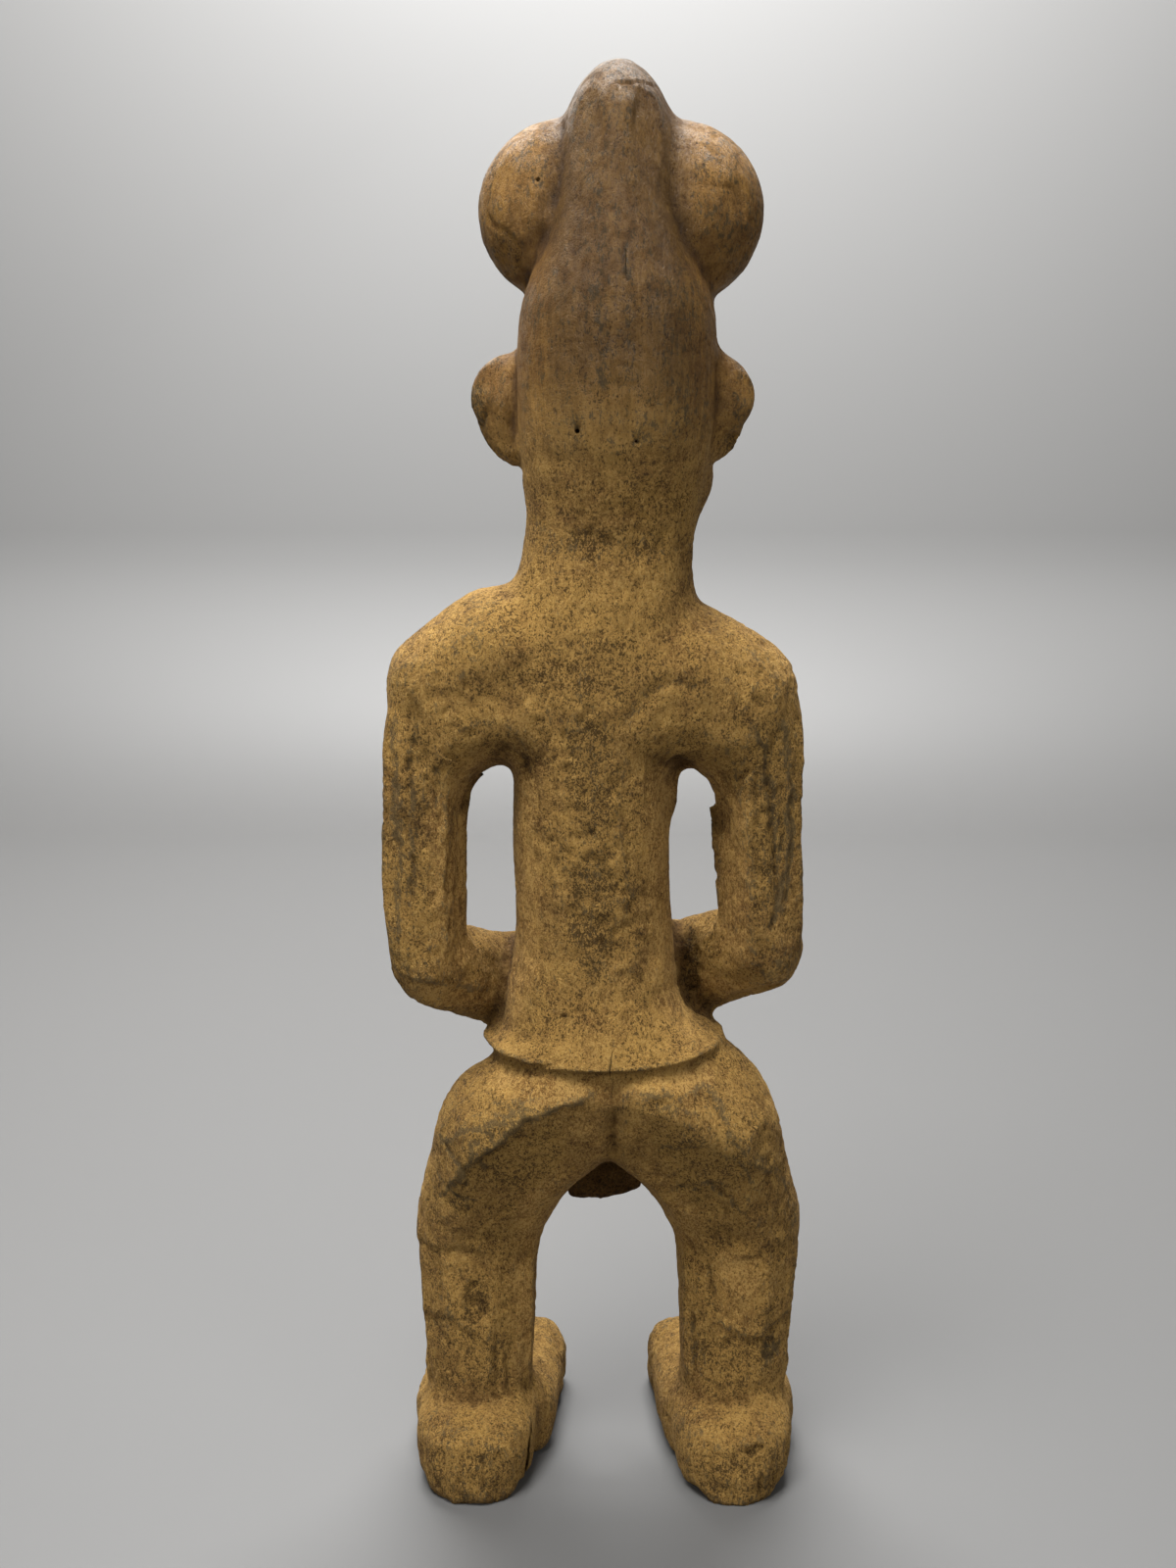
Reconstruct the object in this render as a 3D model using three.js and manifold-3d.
// A standing fertility figure carved from one block of hardwood, in the Bamum manner of the Cameroon
// grassfields: a tall pointed crest between two round lobes, cupped ears, a thick neck, arms that stand
// clear of the trunk and bend so that the hands rest on the belly, a waistband with a front flap, and short
// bent legs on broad flat feet.
// Millimetres, +Z up. The figure faces -Y and stands on z = 0, so its own left side is +X.
//
// The wood is described as a form: a function that gives the distance from a point to the surface, below zero
// inside. Forms are fused with a soft seam or cut from each other, and the whole is meshed at the end.

import * as THREE from "three";
import { mergeVertices } from "three/addons/utils/BufferGeometryUtils.js";
import Module from "manifold-3d";

// Driving dimensions
const HEIGHT = 600;
const CELL = 2.4; // grid step of the first, fine mesh
const TRIANGLES = 9500; // of the mesh that is kept
const SOLE_DEPTH = 8; // the feet run this far below the ground before they are sawn off flat

const FOOT_TOP = 38;
const KNEE = 108;
const CROTCH = 138;
const HIP = 158;
const BAND_LOW = 195;
const BAND_HIGH = 216;
const ELBOW = 231;
const BELLY = 248;
const ARMPIT = 319;
const SHOULDER = 355;
const NECK = 405;
const EYE = 474;
const BROW_RIM = 515;
const LOBE = 544;

const TORSO_HALF = 34;
const ARM_OUT = 73; // from the spine to the middle of an upper arm
const ARM_HALF = 17;
const LEG_OUT = 57;
const LEG_HALF = 28;
const HEAD_HALF = 40;
const TOES_OUT = -0.1; // turns of the feet and of the head, in radians about Z
const HEAD_TURN = -0.08;
const LOBE_OUT = 21.6;
const LOBE_RADIUS = 36.3;

// How far the carved middle of the body stands off x = 0 at each height: the trunk leans to the left and the
// head back to the right.
const SWAY = spline([
  [0, 0],
  [160, -1.2],
  [205, 1],
  [268, 5.8],
  [345, 5],
  [405, 0],
  [440, -3.5],
  [500, -4.3],
  [HEIGHT, -4.6],
]);

// The waist stands further to the left than the arms and the hips do.
const WAIST_LEAN = spline([
  [BAND_LOW, 3.2],
  [BAND_HIGH - 2, 3.8],
  [BAND_HIGH + 14, 2.2],
  [BELLY - 4, 0.5],
  [BELLY + 6, 0],
]);

// A smooth curve through [place, value] pairs.
function spline(pairs) {
  const slope = (i) => {
    const a = pairs[Math.max(i - 1, 0)];
    const b = pairs[Math.min(i + 1, pairs.length - 1)];
    return (b[1] - a[1]) / (b[0] - a[0]);
  };
  return (s) => {
    if (s <= pairs[0][0]) return pairs[0][1];
    const last = pairs.length - 1;
    if (s >= pairs[last][0]) return pairs[last][1];
    let i = 0;
    while (pairs[i + 1][0] < s) i++;
    const [s0, v0] = pairs[i];
    const [s1, v1] = pairs[i + 1];
    const h = s1 - s0;
    const t = (s - s0) / h;
    const a = v0 + h * slope(i) * t;
    const b = v1 - h * slope(i + 1) * (1 - t);
    const w = t * t * (3 - 2 * t);
    return a + (b - a) * w;
  };
}

// Forms

function egg([cx, cy, cz], [rx, ry, rz]) {
  return (x, y, z) => {
    const u = (x - cx) / rx;
    const v = (y - cy) / ry;
    const w = (z - cz) / rz;
    const k0 = Math.hypot(u, v, w);
    const k1 = Math.hypot(u / rx, v / ry, w / rz);
    return k1 < 1e-6 ? -Math.min(rx, ry, rz) : (k0 * (k0 - 1)) / k1;
  };
}

// A bar with round ends that tapers from radius ra at a to rb at b. The section's values stretch it along
// X, Y and Z.
function bar(a, b, ra, rb, section = [1, 1, 1]) {
  const along = b.map((v, k) => v - a[k]);
  const length2 = along.reduce((sum, v) => sum + v * v, 0);
  return (x, y, z) => {
    const p = [x - a[0], y - a[1], z - a[2]];
    const dot = p[0] * along[0] + p[1] * along[1] + p[2] * along[2];
    const t = Math.min(1, Math.max(0, dot / length2));
    const off = Math.hypot(
      (p[0] - along[0] * t) / section[0],
      (p[1] - along[1] * t) / section[1],
      (p[2] - along[2] * t) / section[2],
    );
    return (off - ra - (rb - ra) * t) * Math.min(...section);
  };
}

// Everything on the side of a plane that its normal points away from.
function behind(point, normal) {
  const size = Math.hypot(...normal);
  return (x, y, z) =>
    ((x - point[0]) * normal[0] +
      (y - point[1]) * normal[1] +
      (z - point[2]) * normal[2]) /
    size;
}

// A box with rounded edges.
function block([cx, cy, cz], [hx, hy, hz], round) {
  return (x, y, z) => {
    const qx = Math.abs(x - cx) - hx + round;
    const qy = Math.abs(y - cy) - hy + round;
    const qz = Math.abs(z - cz) - hz + round;
    return (
      Math.hypot(Math.max(qx, 0), Math.max(qy, 0), Math.max(qz, 0)) +
      Math.min(Math.max(qx, qy, qz), 0) -
      round
    );
  };
}

// Rounded sections stacked up Z. A level is [z, half width, back, front], with back and front as places on Y.
function column(levels, square = 2.3) {
  const low = levels[0][0];
  const high = levels[levels.length - 1][0];
  const [half, back, front] = [1, 2, 3].map((k) =>
    spline(levels.map((l) => [l[0], l[k]])),
  );
  const table = [];
  for (let z = low; z <= high; z++)
    table.push([
      half(z),
      (back(z) + front(z)) / 2,
      (back(z) - front(z)) / 2,
    ]);
  return (x, y, z) => {
    const at = Math.min(table.length - 1.001, Math.max(0, z - low));
    const i = Math.floor(at);
    const f = at - i;
    const mix = (k) => table[i][k] * (1 - f) + table[i + 1][k] * f;
    const hx = mix(0);
    const hy = mix(2);
    const u = Math.abs(x) / hx;
    const v = Math.abs(y - mix(1)) / hy;
    const ring = Math.pow(u ** square + v ** square, 1 / square);
    return Math.max((ring - 1) * Math.min(hx, hy), low - z, z - high);
  };
}

// Soft joints between forms: blend is the width of the seam.
function softMin(a, b, blend) {
  const h = Math.max(blend - Math.abs(a - b), 0) / blend;
  return Math.min(a, b) - (h * h * blend) / 4;
}

function fuse(blend, ...forms) {
  return (x, y, z) =>
    forms.reduce((d, form) => softMin(d, form(x, y, z), blend), 1e3);
}

function cut(blend, form, ...tools) {
  return (x, y, z) =>
    tools.reduce(
      (d, tool) => -softMin(-d, tool(x, y, z), blend),
      form(x, y, z),
    );
}

// What two forms share.
function keep(blend, form, other) {
  return (x, y, z) => -softMin(-form(x, y, z), -other(x, y, z), blend);
}

// The same form on the left and, mirrored, on the right.
function pair(form) {
  return (x, y, z) => form(Math.abs(x), y, z);
}

function moved([dx, dy, dz], form) {
  return (x, y, z) => form(x - dx, y - dy, z - dz);
}

// Turned about Z by turn radians.
function turned(turn, form) {
  const c = Math.cos(turn);
  const s = Math.sin(turn);
  return (x, y, z) => form(x * c + y * s, y * c - x * s, z);
}

// Head

function skull() {
  const back = column([
    [NECK - 25, 36, 30, -28],
    [NECK, 35, 31, -28],
    [NECK + 17, 35.5, 32, -29],
    [NECK + 31, 37, 36, -34],
    [NECK + 45, 39.5, 40, -40],
    [NECK + 65, HEAD_HALF + 1, 44, -44],
    [NECK + 93, HEAD_HALF, 46, -45],
    [NECK + 104, HEAD_HALF - 1.5, 45, -43],
    [NECK + 113, 34.5, 43.5, -41],
    [NECK + 124, 29, 41, -38],
    [NECK + 137, 24.5, 37.5, -33],
    [NECK + 152, 20, 31.5, -27],
    [NECK + 170, 12, 20, -16],
  ]);
  const jaw = egg([0, -19, NECK + 33], [40.5, 33, 31]);
  const crest = egg([0, 3, LOBE + 16], [24, 29, HEIGHT - LOBE - 16]);
  return fuse(8, back, jaw, crest);
}

function lobe(side) {
  const [out, height] = side > 0 ? [LOBE_OUT, LOBE + 0.4] : [-LOBE_OUT - 0.4, LOBE - 0.8];
  return egg([out, -8, height], [LOBE_RADIUS, LOBE_RADIUS - 8, LOBE_RADIUS]);
}

// The headdress ends in a rim across the forehead.
function rim() {
  const points = [0, 1, 2, 3, 4].map((i) => {
    const turn = (i * Math.PI) / 9.5;
    return [
      (HEAD_HALF - 3) * Math.sin(turn),
      -44 * Math.cos(turn),
      BROW_RIM - 10 * (i / 4) ** 2,
    ];
  });
  const runs = points.slice(1).map((p, i) => bar(points[i], p, 4.5, 4));
  return pair(fuse(1, ...runs));
}

function ear(side) {
  const reach = side > 0 ? 43 : 37.5;
  const shell = bar(
    [reach, -3, 471],
    [reach - 4, -3, 458],
    18.5,
    14.5,
    [1, 0.55, 1],
  );
  const hollow = egg([reach + 6, -14, 465], [9, 9, 15]);
  const one = cut(2, shell, hollow);
  return (x, y, z) => one(side * x, y, z);
}

function face() {
  const brow = fuse(
    2,
    bar([5, -44, EYE + 15], [17, -43, EYE + 19], 4.5, 4.5),
    bar([17, -43, EYE + 19], [31, -32, EYE + 12], 4.5, 3.5),
  );
  const eye = egg([17, -38, EYE + 1], [12.5, 11, 8.5]);
  const nose = fuse(
    3,
    bar([0, -44, EYE + 12], [0, -52, EYE - 17], 5.5, 7),
    egg([8, -47, EYE - 19], [6.5, 8, 6.5]),
  );
  const mouth = cut(
    1,
    egg([0, -41, EYE - 40], [18, 16, 10]),
    bar([0, -59, EYE - 40], [20, -51, EYE - 40], 2.6, 2.6),
  );
  const chin = egg([0, -38, EYE - 58], [16, 13, 11]);
  const cheek = egg([21, -32, EYE - 25], [15, 12, 16]);
  return pair(fuse(2, brow, eye, nose, mouth, fuse(4, chin, cheek)));
}

// Trunk and arms

function torso() {
  const trunk = column([
    [BAND_LOW - 12, 42, 32, -32],
    [BAND_HIGH - 8, 40, 32.5, -37],
    [BAND_HIGH, 38.5, 31, -39],
    [BAND_HIGH + 16, 36.4, 30.5, -43],
    [BELLY, 34.5, 30, -45],
    [BELLY + 20, TORSO_HALF, 30.5, -41],
    [BELLY + 45, TORSO_HALF, 31.5, -34],
    [ARMPIT, TORSO_HALF, 32, -31],
    [SHOULDER - 10, 44, 32, -30],
    [SHOULDER + 20, 40, 31, -28],
    [NECK - 8, 35, 30, -27],
    [NECK + 12, 28, 22, -20],
  ]);
  const belly = egg([0, -22, BELLY - 4], [32, 30, 30]);
  const breast = pair(egg([17, -27, ARMPIT + 6], [14, 13, 13]));
  const rightRib = bar([-30, 2, ARMPIT + 14], [-31, 2, ARMPIT - 16], 9, 6);
  const waist = (x, y, z) => trunk(x - WAIST_LEAN(z), y, z);
  return fuse(7, waist, belly, breast, rightRib);
}

// The left shoulder is carved about 6 mm higher than the right one.
function shoulder(side) {
  const yoke = side > 0 ? [44, 2, 368] : [38, 2, 360];
  const cap = side > 0 ? [64, 2, SHOULDER] : [61.5, 2, SHOULDER - 6];
  return fuse(
    6,
    bar([0, 2, 372], yoke, 25, 26, [1, 1.1, 1]),
    bar(yoke, cap, 26, 24.5, [1, 1.08, 1]),
    bar([0, 8, 352], [56, 5, 350], 23, 22, [1, 1, 1.25]),
    bar([33, 2, ARMPIT + 23], [60, 2, ARMPIT + 15], 20, 19, [1, 1.3, 1]),
  );
}

// The right forearm is held about 8 mm higher than the left one.
function arm(side) {
  const rise = side > 0 ? 0 : 8;
  const top = [ARM_OUT - 3, 3, SHOULDER - 19];
  const elbow = [ARM_OUT + (side > 0 ? 0.5 : 0), 4, ELBOW + 3 + rise];
  const wrist = [46, -22, ELBOW - 14 + rise];
  const palm = [28, -43, ELBOW - 6 + rise / 2];
  const pitTop = [ARM_OUT - 20, 2, ARMPIT + 8];
  const pitEnd = [ARM_OUT - 8, 2, ARMPIT - 14];
  const whole = fuse(
    4,
    bar(top, elbow, ARM_HALF + 1.5, ARM_HALF - 0.8, [1, 1.1, 1]),
    bar(pitTop, pitEnd, 12, 8, [1, 1.5, 1]),
    bar(elbow, wrist, 15, 15, [1, 1, 1.5]),
    bar(wrist, palm, 15, 8.5, [1, 1, 1.4]),
  );
  const reach = side > 0 ? 23 : 20;
  const corner = [elbow[0] + reach, 0, ELBOW - 2 + rise / 2];
  return keep(4, whole, behind(corner, [17, 0, -15]));
}

function hand(side) {
  const knuckles = [27, -46, ELBOW - 5 + (side > 0 ? 0 : 3)];
  const fingers = [-12, -4, 4, 12].map((drop, i) =>
    bar(
      [knuckles[0], knuckles[1], knuckles[2] + drop],
      [6.5 + Math.abs(i - 1.5), -51, knuckles[2] + drop * 0.9 - 1],
      4.8,
      3.8,
    ),
  );
  const thumb = bar(
    [26, -45, knuckles[2] + 18],
    [17, -49, knuckles[2] + 22],
    4.8,
    4,
  );
  return fuse(0.6, ...fingers, thumb);
}

function armOn(side) {
  const one = fuse(2, arm(side), hand(side));
  return (x, y, z) => one(side * x, y, z);
}

function shoulderOn(side) {
  const one = shoulder(side);
  return (x, y, z) => one(side * x, y, z);
}

// The band flares downwards and stands off the hips along its low edge.
function waistband() {
  return column(
    [
      [BAND_LOW, 51.5, 40, -44.5],
      [BAND_LOW + 4, 52, 40, -44.5],
      [BAND_LOW + 8, 49, 38.4, -43.5],
      [BAND_LOW + 11, 44.5, 37, -42.5],
      [BAND_LOW + 14, 40, 35.5, -41.5],
      [BAND_HIGH + 2, 35, 32, -39],
      [BAND_HIGH + 6, 33, 30, -37],
    ],
    2.2,
  );
}

function flap() {
  const sheet = column(
    [
      [KNEE, 17, -27, -37],
      [KNEE + 24, 17, -16, -42],
      [HIP + 2, 20, -12, -46],
      [BAND_LOW + 8, 24, -12, -48],
    ],
    3.5,
  );
  return moved([1.5, 0, 0], sheet);
}

// Legs

// A ridge runs from the cleft out and down over each buttock to the outside of the thigh. Below it the wood
// is cut away in one long plane to the back of the knee. The right hip is carved fuller at the top.
function haunch() {
  const buttock = bar([14, 11, HIP + 18], [40, 8, HIP], 32, 33);
  const thigh = bar([44, 4, HIP - 4], [LEG_OUT + 1, -6, KNEE + 4], 32, 29);
  const core = column([
    [CROTCH + 8, 34, 14, -28],
    [HIP + 12, 46, 30, -35],
    [BAND_LOW + 3, 49.5, 38, -42],
  ]);
  const crotch = bar([12, -2, CROTCH + 15], [38, -6, KNEE + 18], 14, 14);
  const knee = egg([LEG_OUT, -26, KNEE - 4], [20, 15, 18]);
  const facet = behind([5, 44, BAND_LOW - 6], [-0.141, 0.915, -0.379]);
  const left = fuse(3, core, keep(4, fuse(8, buttock, thigh, crotch, knee), facet));
  const rightHip = bar([-38, 4, HIP + 26], [-46, 2, HIP + 15], 21, 23);
  return fuse(6, pair(left), rightHip);
}

function calf() {
  return pair(
    bar(
      [LEG_OUT + 1.5, -3, KNEE - 12],
      [LEG_OUT + 0.5, 3, FOOT_TOP + 6],
      LEG_HALF,
      LEG_HALF - 3,
      [1, 0.92, 1],
    ),
  );
}

// A round heel and a broad, low forefoot with the toes parted by cuts.
function foot(side) {
  const heel = moved(
    [side > 0 ? LEG_OUT + 1 : LEG_OUT - 0.5, 0, 0],
    column(
      [
        [-SOLE_DEPTH - 2, 23, 44, -16],
        [6, 25.5, 46.5, -16],
        [22, 27, 45.5, -16],
        [32, 24, 40, -14],
        [FOOT_TOP, 18, 30, -10],
      ],
      2.2,
    ),
  );
  const [ball, width] = side > 0 ? [52.5, 33] : [54, 31.5];
  const forefoot = moved(
    [ball, -31, 6],
    turned(TOES_OUT, block([0, 0, 0], [width, 39, 28], 15)),
  );
  const instep = bar([LEG_OUT - 1, 4, 30], [52, -34, 22], 18, 12, [1.2, 1, 1]);
  // The cuts stay open at the front, which comes further out from toe to toe.
  const toes = [
    [29, -67.5],
    [41, -69],
    [53, -70.5],
    [66, -71.5],
  ].map(([x, y]) => bar([x, y, -8], [x + 1, y + 3, 40], 2.6, 2.6));
  const one = cut(1.5, fuse(8, heel, forefoot, instep), ...toes);
  return (x, y, z) => one(side * x, y, z);
}

// The whole carving, with the sway of the trunk and head put back in.
function figure() {
  const head = turned(HEAD_TURN, skull());
  const upright = fuse(7, torso(), shoulderOn(1), shoulderOn(-1), head);
  const arms = [armOn(1), armOn(-1)];
  const lower = fuse(5, haunch(), calf());
  const body = fuse(4, upright, ...arms);
  const navel = egg([0, -52, BELLY - 1], [5, 5, 5]);
  const onHead = [ear(1), ear(-1), face(), rim(), lobe(1), lobe(-1)].map((form) =>
    turned(HEAD_TURN, form),
  );
  const whole = fuse(
    1.5,
    fuse(2.5, body, navel, ...onHead),
    fuse(3, lower, foot(1), foot(-1)),
    waistband(),
    flap(),
  );
  return (x, y, z) => Math.max(whole(x - SWAY(z), y, z), -SOLE_DEPTH - z);
}

// Meshing: the grid's cubes are each split into the six tetrahedra around their long diagonal, and the
// surface is drawn through every tetrahedron that it passes.

const LOW = [-96, -84, -SOLE_DEPTH - 2 * CELL];
const HIGH = [105, 62, HEIGHT + 4];
const NEAREST = 0.03 * CELL; // no corner of the grid counts as closer to the surface than this
const BLOCK = 4; // corners along a block of the grid

const FAR = 1.7; // a block this many times its own reach from the surface isn't looked into

// The six ways from a cube's lowest corner to its highest one, as the first two axes that each follows and
// whether it is right-handed.
const WAYS = [
  [0, 1, true],
  [1, 2, true],
  [2, 0, true],
  [0, 2, false],
  [2, 1, false],
  [1, 0, false],
];

// The corners of a cube after its lowest one.
const CORNERS = [1, 2, 3, 4, 5, 6, 7].map((c) => [c & 1, (c >> 1) & 1, c >> 2]);

function meshOf(form) {
  const n = LOW.map((v, k) => Math.ceil((HIGH[k] - v) / CELL) + 1);
  const step = [1, n[0], n[0] * n[1]];
  const value = new Float64Array(n[0] * n[1] * n[2]);
  const place = (corner) => {
    const k = Math.floor(corner / step[2]);
    const j = Math.floor((corner - k * step[2]) / step[1]);
    const i = corner - k * step[2] - j * step[1];
    return [LOW[0] + i * CELL, LOW[1] + j * CELL, LOW[2] + k * CELL];
  };
  // A block of corners whose middle is far from the surface takes the middle's value.
  const halfBlock = (CELL * (BLOCK - 1)) / 2;
  const reach = halfBlock * Math.sqrt(3);
  for (let k = 0; k < n[2]; k += BLOCK)
    for (let j = 0; j < n[1]; j += BLOCK)
      for (let i = 0; i < n[0]; i += BLOCK) {
        const low = place(i + j * step[1] + k * step[2]);
        const atMiddle = form(...low.map((v) => v + halfBlock));
        const isFar = Math.abs(atMiddle) > FAR * reach;
        for (let c = k; c < Math.min(k + BLOCK, n[2]); c++)
          for (let b = j; b < Math.min(j + BLOCK, n[1]); b++)
            for (let a = i; a < Math.min(i + BLOCK, n[0]); a++) {
              const corner = a + b * step[1] + c * step[2];
              const d = isFar ? atMiddle : form(...place(corner));
              value[corner] = d < 0 ? Math.min(d, -NEAREST) : Math.max(d, NEAREST);
            }
      }

  const points = [];
  const faces = [];
  const pointOn = new Map();
  const crossing = (a, b) => {
    const edge = Math.min(a, b) * value.length + Math.max(a, b);
    if (!pointOn.has(edge)) {
      const t = value[a] / (value[a] - value[b]);
      const from = place(a);
      const to = place(b);
      pointOn.set(edge, points.length);
      points.push(from.map((v, k) => v + (to[k] - v) * t));
    }
    return pointOn.get(edge);
  };
  const cross = (corners, rightHanded) => {
    const inside = corners.filter((c) => value[c] < 0);
    if (inside.length === 0 || inside.length === 4) return;
    const order = [...inside, ...corners.filter((c) => value[c] > 0)];
    let swaps = 0;
    for (let i = 0; i < 4; i++)
      for (let j = i + 1; j < 4; j++)
        if (corners.indexOf(order[i]) > corners.indexOf(order[j])) swaps++;
    const [p, q, r, s] = order;
    const drawn = {
      1: [[p, q, p, r, p, s]],
      2: [
        [p, r, p, s, q, s],
        [p, r, q, s, q, r],
      ],
      3: [[p, s, q, s, r, s]],
    }[inside.length];
    for (const [a, b, c, d, e, f] of drawn) {
      const face = [crossing(a, b), crossing(c, d), crossing(e, f)];
      faces.push((swaps % 2 === 0) === rightHanded ? face : face.reverse());
    }
  };
  for (let k = 0; k < n[2] - 1; k++)
    for (let j = 0; j < n[1] - 1; j++)
      for (let i = 0; i < n[0] - 1; i++) {
        const first = i + j * step[1] + k * step[2];
        const last = first + step[0] + step[1] + step[2];
        const sign = value[first] < 0;
        const passed = CORNERS.some(
          ([a, b, c]) =>
            value[first + a + b * step[1] + c * step[2]] < 0 !== sign,
        );
        if (!passed) continue;
        for (const [a, b, rightHanded] of WAYS) {
          const second = first + step[a];
          cross([first, second, second + step[b], last], rightHanded);
        }
      }
  return { points, faces };
}

// Thinning: again and again, the edge that can be drawn together to one point with the least harm to the
// surface is drawn together, until so many triangles are left. An edge stays where that would pinch or fold
// the surface.

function minus(a, b) {
  return [a[0] - b[0], a[1] - b[1], a[2] - b[2]];
}

function dot(a, b) {
  return a[0] * b[0] + a[1] * b[1] + a[2] * b[2];
}

function across(a, b) {
  return [
    a[1] * b[2] - a[2] * b[1],
    a[2] * b[0] - a[0] * b[2],
    a[0] * b[1] - a[1] * b[0],
  ];
}

// The harm of a point is its squared distance from planes, weighed by area: p.Ap + 2 b.p + c, kept as ten
// sums.
function harmAt(sums, p) {
  const [xx, xy, xz, xw, yy, yz, yw, zz, zw, ww] = sums;
  return (
    p[0] * (xx * p[0] + 2 * (xy * p[1] + xz * p[2] + xw)) +
    p[1] * (yy * p[1] + 2 * (yz * p[2] + yw)) +
    p[2] * (zz * p[2] + 2 * zw) +
    ww
  );
}

// The point of least harm, or nothing where the planes don't settle one.
function leastHarm(sums) {
  const [xx, xy, xz, xw, yy, yz, yw, zz, zw] = sums;
  const x = [xx, xy, xz];
  const y = [xy, yy, yz];
  const z = [xz, yz, zz];
  const w = [-xw, -yw, -zw];
  const det = dot(x, across(y, z));
  if (Math.abs(det) < SETTLED * (xx + yy + zz) ** 3) return null;
  return [
    dot(w, across(y, z)) / det,
    dot(x, across(w, z)) / det,
    dot(x, across(y, w)) / det,
  ];
}

class Queue {
  items = [];
  push(item) {
    const list = this.items;
    let at = list.length;
    list.push(item);
    while (at > 0) {
      const up = (at - 1) >> 1;
      if (list[up].cost <= item.cost) break;
      list[at] = list[up];
      at = up;
    }
    list[at] = item;
  }
  pop() {
    const list = this.items;
    const top = list[0];
    const item = list.pop();
    if (list.length === 0) return top;
    let at = 0;
    for (;;) {
      let down = 2 * at + 1;
      if (down >= list.length) break;
      if (down + 1 < list.length && list[down + 1].cost < list[down].cost)
        down++;
      if (item.cost <= list[down].cost) break;
      list[at] = list[down];
      at = down;
    }
    list[at] = item;
    return top;
  }
}

const EVEN = 1e-3; // weight of an edge's length beside its harm, which keeps the triangles even
const TURN = 0.25; // the cosine of the most that a triangle may turn
const SLIVER = 1e-3; // twice the area of the smallest triangle
const SETTLED = 1e-3; // how far from flat the planes round a point must be to settle it
const FRONT_CARE = 20; // how much finer the face and the hands are kept than the rest

function care(p) {
  return p[1] < -36 && p[2] > ELBOW - 30 ? FRONT_CARE : 1;
}

function thin({ points, faces }, triangles) {
  const around = points.map(() => new Set());
  const sums = points.map(() => new Float64Array(10));
  const version = new Int32Array(points.length);
  const normal = (a, b, c) => across(minus(b, a), minus(c, a));
  faces.forEach((face, f) => {
    const [a, b, c] = face.map((p) => points[p]);
    const n = normal(a, b, c);
    const size = Math.hypot(...n) || 1;
    const plane = [n[0] / size, n[1] / size, n[2] / size, -dot(n, a) / size];
    const weight = (size / 2) * care(a);
    for (const p of face) {
      around[p].add(f);
      let k = 0;
      for (let i = 0; i < 4; i++)
        for (let j = i; j < 4; j++) {
          sums[p][k] += plane[i] * plane[j] * weight;
          k++;
        }
    }
  });

  const queue = new Queue();
  const offer = (a, b) => {
    const both = sums[a].map((v, k) => v + sums[b][k]);
    const middle = points[a].map((v, k) => (v + points[b][k]) / 2);
    const edge = minus(points[a], points[b]);
    const length2 = dot(edge, edge);
    let to = leastHarm(both);
    if (to) {
      const off = minus(to, middle);
      if (dot(off, off) > length2) to = null;
    }
    if (!to)
      to = [middle, points[a], points[b]].reduce((best, p) =>
        harmAt(both, p) < harmAt(both, best) ? p : best,
      );
    const cost = Math.max(harmAt(both, to), 0) + EVEN * length2;
    queue.push({ cost, a, b, to, stamp: version[a] + version[b] });
  };
  const near = (p) => {
    const ring = new Set();
    for (const f of around[p]) faces[f].forEach((q) => ring.add(q));
    ring.delete(p);
    return ring;
  };
  const folds = (p, other, to) => {
    for (const f of around[p]) {
      if (faces[f].includes(other)) continue;
      const old = faces[f].map((q) => points[q]);
      const now = faces[f].map((q) => (q === p ? to : points[q]));
      const from = normal(...old);
      const turned = normal(...now);
      const size = Math.hypot(...turned);
      if (size < SLIVER) return true;
      if (dot(from, turned) < TURN * Math.hypot(...from) * size) return true;
    }
    return false;
  };

  points.forEach((_, a) => {
    for (const b of near(a)) if (a < b) offer(a, b);
  });
  const gone = new Uint8Array(points.length);
  let left = faces.length;
  while (left > triangles && queue.items.length) {
    const { a, b, to, stamp } = queue.pop();
    if (gone[a] || gone[b] || stamp !== version[a] + version[b]) continue;
    const ringB = near(b);
    const shared = [...near(a)].filter((p) => ringB.has(p));
    if (shared.length !== 2) continue;
    if (folds(a, b, to) || folds(b, a, to)) continue;
    for (const f of around[b]) {
      if (faces[f].includes(a)) {
        faces[f].filter((p) => p !== b).forEach((p) => around[p].delete(f));
        left--;
      } else {
        faces[f] = faces[f].map((p) => (p === b ? a : p));
        around[a].add(f);
      }
    }
    around[b].clear();
    gone[b] = 1;
    points[a] = to;
    sums[a] = sums[a].map((v, k) => v + sums[b][k]);
    version[a] += 1;
    for (const p of near(a)) offer(a, p);
  }

  const kept = new Set();
  around.forEach((set) => set.forEach((f) => kept.add(f)));
  return { points, faces: [...kept].map((f) => faces[f]) };
}

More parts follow.
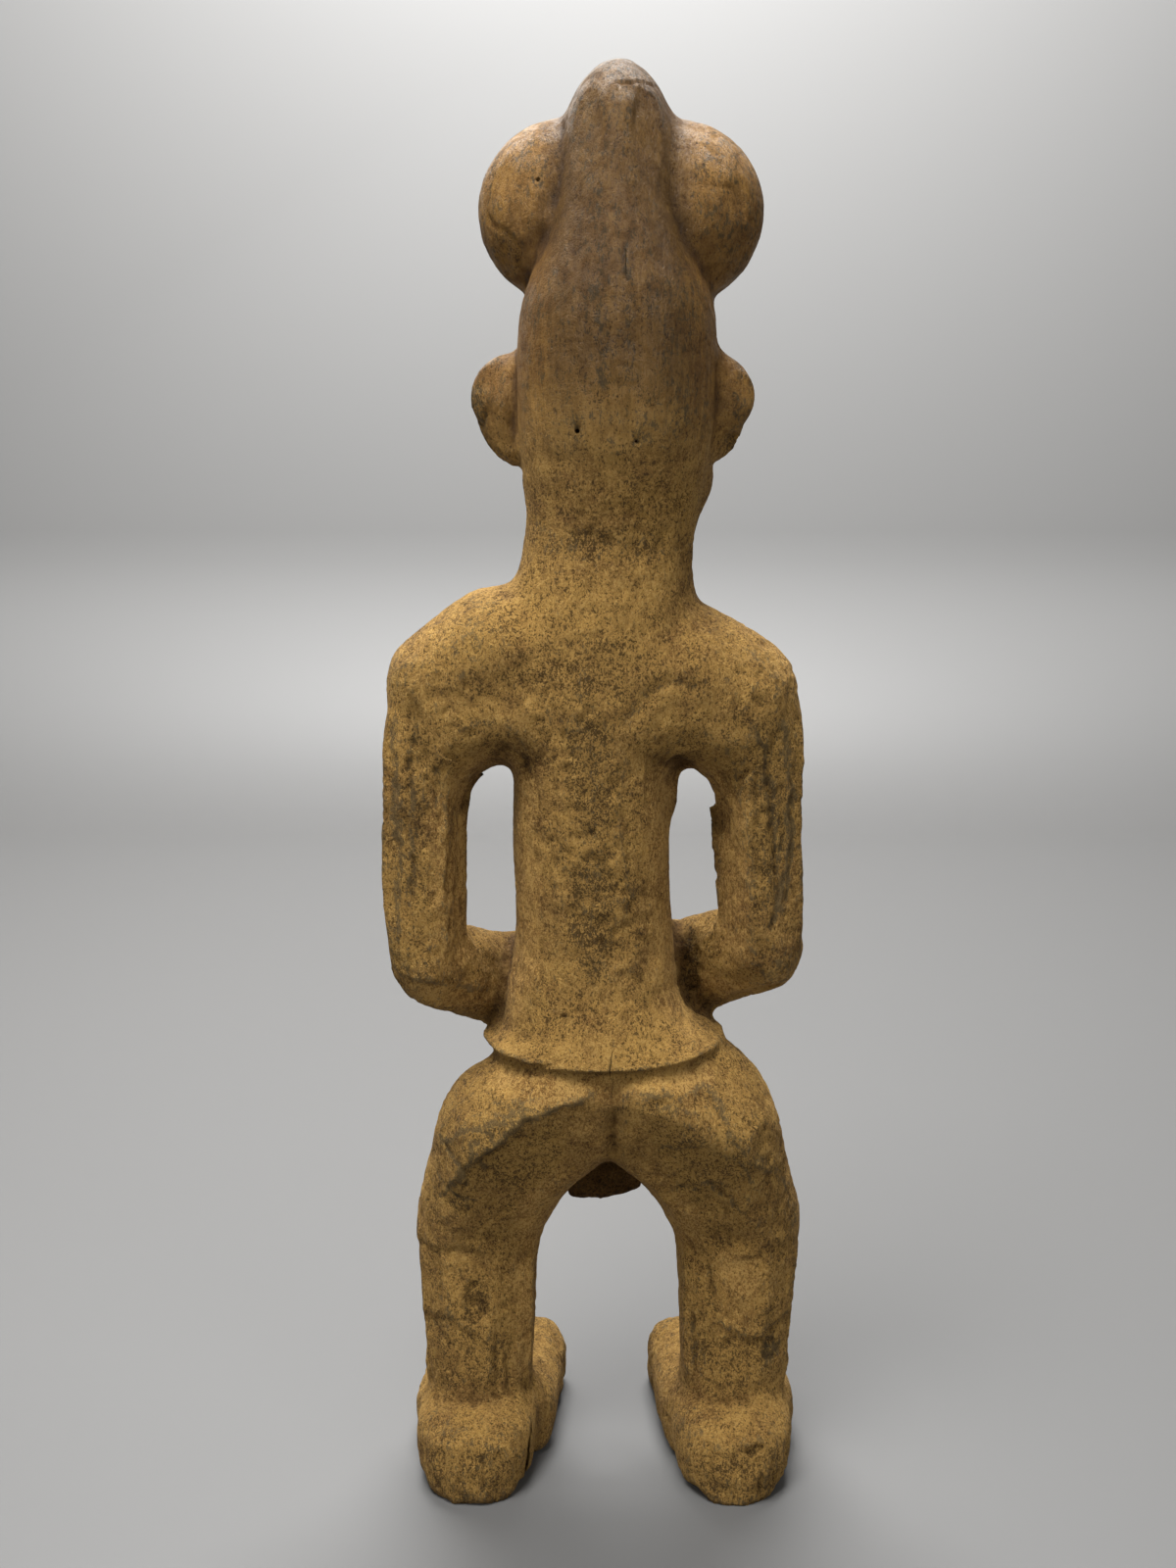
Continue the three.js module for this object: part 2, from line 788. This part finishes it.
// Only the outer skin is kept: a hollow sealed inside the wood is filled.
function skinOf({ points, faces }) {
  const shell = new Int32Array(points.length).map((_, i) => i);
  const root = (p) => {
    let at = p;
    while (shell[at] !== at) {
      shell[at] = shell[shell[at]];
      at = shell[at];
    }
    return at;
  };
  for (const [a, b, c] of faces) {
    shell[root(a)] = root(b);
    shell[root(b)] = root(c);
  }
  const top = points.reduce((best, p, i) => (p[2] > points[best][2] ? i : best), 0);
  return { points, faces: faces.filter((face) => root(face[0]) === root(top)) };
}

function geometryFrom({ points, faces }) {
  const geometry = new THREE.BufferGeometry();
  const place = new Float32Array(faces.flat().flatMap((p) => points[p]));
  geometry.setAttribute("position", new THREE.BufferAttribute(place, 3));
  return mergeVertices(geometry, 1e-4);
}

const wasm = await Module();
wasm.setup();

function solidOf(geometry) {
  const bare = geometry.clone();
  bare.deleteAttribute("normal");
  bare.deleteAttribute("uv");
  const merged = mergeVertices(bare, 1e-3);
  return new wasm.Manifold(
    new wasm.Mesh({
      numProp: 3,
      vertProperties: merged.attributes.position.array,
      triVerts: new Uint32Array(merged.index.array),
    }),
  );
}

function geometryOf(solid) {
  const mesh = solid.getMesh();
  const geometry = new THREE.BufferGeometry();
  geometry.setAttribute(
    "position",
    new THREE.BufferAttribute(mesh.vertProperties, 3),
  );
  geometry.setIndex(new THREE.BufferAttribute(mesh.triVerts, 1));
  geometry.computeVertexNormals();
  return geometry;
}

const GROUND = 400; // side of the block that the feet are sawn off along
const GROUND_DEPTH = 100;

const fine = skinOf(meshOf(figure()));
const coarse = geometryFrom(thin(fine, TRIANGLES));
const ground = new THREE.BoxGeometry(GROUND, GROUND, GROUND_DEPTH);
ground.translate(0, 0, -GROUND_DEPTH / 2);
const carved = solidOf(coarse).subtract(solidOf(ground));

const wood = new THREE.MeshStandardMaterial({
  color: new THREE.Color(0.42, 0.31, 0.17),
  roughness: 0.85,
  metalness: 0,
});

// The origin is the middle of the footprint, between the soles.
const geometry = geometryOf(carved);
geometry.computeBoundingBox();
const footprint = geometry.boundingBox.getCenter(new THREE.Vector3());
geometry.translate(-footprint.x, -footprint.y, 0);

const statue = new THREE.Mesh(geometry, wood);
statue.name = "figure";

const group = new THREE.Group();
group.add(statue);

export default group;
